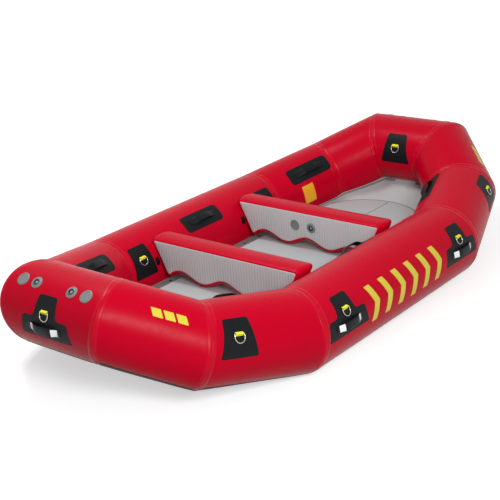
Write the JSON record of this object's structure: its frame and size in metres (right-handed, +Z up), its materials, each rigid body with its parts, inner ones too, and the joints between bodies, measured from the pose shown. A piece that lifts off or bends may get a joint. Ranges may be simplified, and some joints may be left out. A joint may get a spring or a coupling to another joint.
{
  "type": "whitewater raft",
  "caption": "Inflatable whitewater raft with raised ends, a laced-in inflatable floor, cross thwarts, lashing rings in webbing loops, carrying straps and air valves.",
  "frame": {"origin": "on the ground under the middle of the raft", "axes": "+X to the bow, +Y to port, +Z up"},
  "size_m": [3.7144, 1.977, 0.729],
  "materials": {
    "coated_fabric_red": "satin",
    "coated_fabric_grey": "satin",
    "patch_black": "satin",
    "skirt_grey": "satin",
    "valve_plastic": "matte",
    "ring_steel": "brushed"
  },
  "bodies": {
    "hull": {"floor_panel": "coated_fabric_grey", "floor_skirt": "skirt_grey", "handle_bow_port": "patch_black", "handle_bow_starboard": "patch_black", "handle_midship_port": "patch_black", "handle_midship_starboard": "patch_black", "handle_stern_port": "patch_black", "handle_stern_starboard": "patch_black", "patch_inner_bow": "patch_black", "patch_inner_bow_port": "patch_black", "patch_inner_bow_starboard": "patch_black", "patch_inner_stern": "patch_black", "patch_inner_stern_port": "patch_black", "patch_inner_stern_starboard": "patch_black", "patch_kick_bow_port": "patch_black", "patch_kick_bow_starboard": "patch_black", "patch_kick_stern_port": "patch_black", "patch_kick_stern_starboard": "patch_black", "patch_outer_bow_port": "patch_black", "patch_outer_bow_starboard": "patch_black", "patch_outer_stern_port": "patch_black", "patch_outer_stern_starboard": "patch_black", "patch_tow_bow": "patch_black", "patch_tow_stern": "patch_black", "thwart_bow": "coated_fabric_grey", "thwart_stern": "coated_fabric_grey", "tube_bow": "coated_fabric_red", "tube_corner_bow_port": "coated_fabric_red", "tube_corner_bow_starboard": "coated_fabric_red", "tube_corner_stern_port": "coated_fabric_red", "tube_corner_stern_starboard": "coated_fabric_red", "tube_kick_bow_port": "coated_fabric_red", "tube_kick_bow_starboard": "coated_fabric_red", "tube_kick_stern_port": "coated_fabric_red", "tube_kick_stern_starboard": "coated_fabric_red", "tube_side_port": "coated_fabric_red", "tube_side_starboard": "coated_fabric_red", "tube_stern": "coated_fabric_red"},
    "ring_outer_bow_starboard": {"ring_outer_bow_starboard": "ring_steel"},
    "ring_outer_bow_port": {"ring_outer_bow_port": "ring_steel"},
    "ring_outer_stern_starboard": {"ring_outer_stern_starboard": "ring_steel"},
    "ring_outer_stern_port": {"ring_outer_stern_port": "ring_steel"},
    "ring_kick_bow_starboard": {"ring_kick_bow_starboard": "ring_steel"},
    "ring_kick_bow_port": {"ring_kick_bow_port": "ring_steel"},
    "ring_kick_stern_starboard": {"ring_kick_stern_starboard": "ring_steel"},
    "ring_kick_stern_port": {"ring_kick_stern_port": "ring_steel"},
    "ring_inner_bow_starboard": {"ring_inner_bow_starboard": "ring_steel"},
    "ring_inner_bow_port": {"ring_inner_bow_port": "ring_steel"},
    "ring_inner_stern_starboard": {"ring_inner_stern_starboard": "ring_steel"},
    "ring_inner_stern_port": {"ring_inner_stern_port": "ring_steel"},
    "ring_tow_bow": {"ring_tow_bow": "ring_steel"},
    "ring_tow_stern": {"ring_tow_stern": "ring_steel"},
    "ring_inner_bow": {"ring_inner_bow": "ring_steel"},
    "ring_inner_stern": {"ring_inner_stern": "ring_steel"},
    "valve_plunger_bow_starboard": {"valve_plunger_bow_starboard": "valve_plastic"},
    "valve_plunger_bow_port": {"valve_plunger_bow_port": "valve_plastic"},
    "valve_plunger_stern_starboard": {"valve_plunger_stern_starboard": "valve_plastic"},
    "valve_plunger_stern_port": {"valve_plunger_stern_port": "valve_plastic"},
    "valve_plunger_thwart_bow": {"valve_plunger_thwart_bow": "valve_plastic"},
    "valve_plunger_thwart_stern": {"valve_plunger_thwart_stern": "valve_plastic"}
  },
  "joints": [
    {"name": "swing_outer_bow_starboard", "type": "hinge", "parent": "hull", "child": "ring_outer_bow_starboard", "pos_m": [0.597, -0.93546, 0.35003], "axis": [-1, 0, 0], "range_deg": [0, 150]},
    {"name": "swing_outer_bow_port", "type": "hinge", "parent": "hull", "child": "ring_outer_bow_port", "pos_m": [0.597, 0.93546, 0.35003], "axis": [1, 0, 0], "range_deg": [0, 150]},
    {"name": "swing_outer_stern_starboard", "type": "hinge", "parent": "hull", "child": "ring_outer_stern_starboard", "pos_m": [-0.597, -0.93546, 0.35003], "axis": [-1, 0, 0], "range_deg": [0, 150]},
    {"name": "swing_outer_stern_port", "type": "hinge", "parent": "hull", "child": "ring_outer_stern_port", "pos_m": [-0.597, 0.93546, 0.35003], "axis": [1, 0, 0], "range_deg": [0, 150]},
    {"name": "swing_kick_bow_starboard", "type": "hinge", "parent": "hull", "child": "ring_kick_bow_starboard", "pos_m": [1.26993, -0.77517, 0.43412], "axis": [-0.9337, -0.3139, -0.1722], "range_deg": [0, 150]},
    {"name": "swing_kick_bow_port", "type": "hinge", "parent": "hull", "child": "ring_kick_bow_port", "pos_m": [1.26993, 0.77517, 0.43412], "axis": [0.9337, -0.3139, 0.1722], "range_deg": [0, 150]},
    {"name": "swing_kick_stern_starboard", "type": "hinge", "parent": "hull", "child": "ring_kick_stern_starboard", "pos_m": [-1.26993, -0.77517, 0.43412], "axis": [-0.9337, 0.3139, 0.1722], "range_deg": [0, 150]},
    {"name": "swing_kick_stern_port", "type": "hinge", "parent": "hull", "child": "ring_kick_stern_port", "pos_m": [-1.26993, 0.77517, 0.43412], "axis": [0.9337, 0.3139, -0.1722], "range_deg": [0, 150]},
    {"name": "swing_inner_bow_starboard", "type": "hinge", "parent": "hull", "child": "ring_inner_bow_starboard", "pos_m": [0.6055, -0.52354, 0.35003], "axis": [1, 0, 0], "range_deg": [0, 150]},
    {"name": "swing_inner_bow_port", "type": "hinge", "parent": "hull", "child": "ring_inner_bow_port", "pos_m": [0.6055, 0.52354, 0.35003], "axis": [-1, 0, 0], "range_deg": [0, 150]},
    {"name": "swing_inner_stern_starboard", "type": "hinge", "parent": "hull", "child": "ring_inner_stern_starboard", "pos_m": [-0.6055, -0.52354, 0.35003], "axis": [1, 0, 0], "range_deg": [0, 150]},
    {"name": "swing_inner_stern_port", "type": "hinge", "parent": "hull", "child": "ring_inner_stern_port", "pos_m": [-0.6055, 0.52354, 0.35003], "axis": [-1, 0, 0], "range_deg": [0, 150]},
    {"name": "swing_tow_bow", "type": "hinge", "parent": "hull", "child": "ring_tow_bow", "pos_m": [1.82222, 0, 0.58607], "axis": [0, -1, 0], "range_deg": [0, 150]},
    {"name": "swing_tow_stern", "type": "hinge", "parent": "hull", "child": "ring_tow_stern", "pos_m": [-1.82222, 0, 0.58607], "axis": [0, 1, 0], "range_deg": [0, 150]},
    {"name": "swing_inner_bow", "type": "hinge", "parent": "hull", "child": "ring_inner_bow", "pos_m": [1.39718, 0, 0.58607], "axis": [0, 1, 0], "range_deg": [0, 150]},
    {"name": "swing_inner_stern", "type": "hinge", "parent": "hull", "child": "ring_inner_stern", "pos_m": [-1.39718, 0, 0.58607], "axis": [0, -1, 0], "range_deg": [0, 150]},
    {"name": "press_bow_starboard", "type": "slide", "parent": "hull", "child": "valve_plunger_bow_starboard", "axis": [-0.5764, 0, -0.8171], "range_m": [0, 0.006], "stiffness_N_per_m": 400, "springref_m": -0.004},
    {"name": "press_bow_port", "type": "slide", "parent": "hull", "child": "valve_plunger_bow_port", "axis": [-0.5764, 0, -0.8171], "range_m": [0, 0.006], "stiffness_N_per_m": 400, "springref_m": -0.004},
    {"name": "press_stern_starboard", "type": "slide", "parent": "hull", "child": "valve_plunger_stern_starboard", "axis": [0.5764, 0, -0.8171], "range_m": [0, 0.006], "stiffness_N_per_m": 400, "springref_m": -0.004},
    {"name": "press_stern_port", "type": "slide", "parent": "hull", "child": "valve_plunger_stern_port", "axis": [0.5764, 0, -0.8171], "range_m": [0, 0.006], "stiffness_N_per_m": 400, "springref_m": -0.004},
    {"name": "press_thwart_bow", "type": "slide", "parent": "hull", "child": "valve_plunger_thwart_bow", "axis": [1, 0, 0], "range_m": [0, 0.006], "stiffness_N_per_m": 400, "springref_m": -0.004},
    {"name": "press_thwart_stern", "type": "slide", "parent": "hull", "child": "valve_plunger_thwart_stern", "axis": [-1, 0, 0], "range_m": [0, 0.006], "stiffness_N_per_m": 400, "springref_m": -0.004}
  ]
}
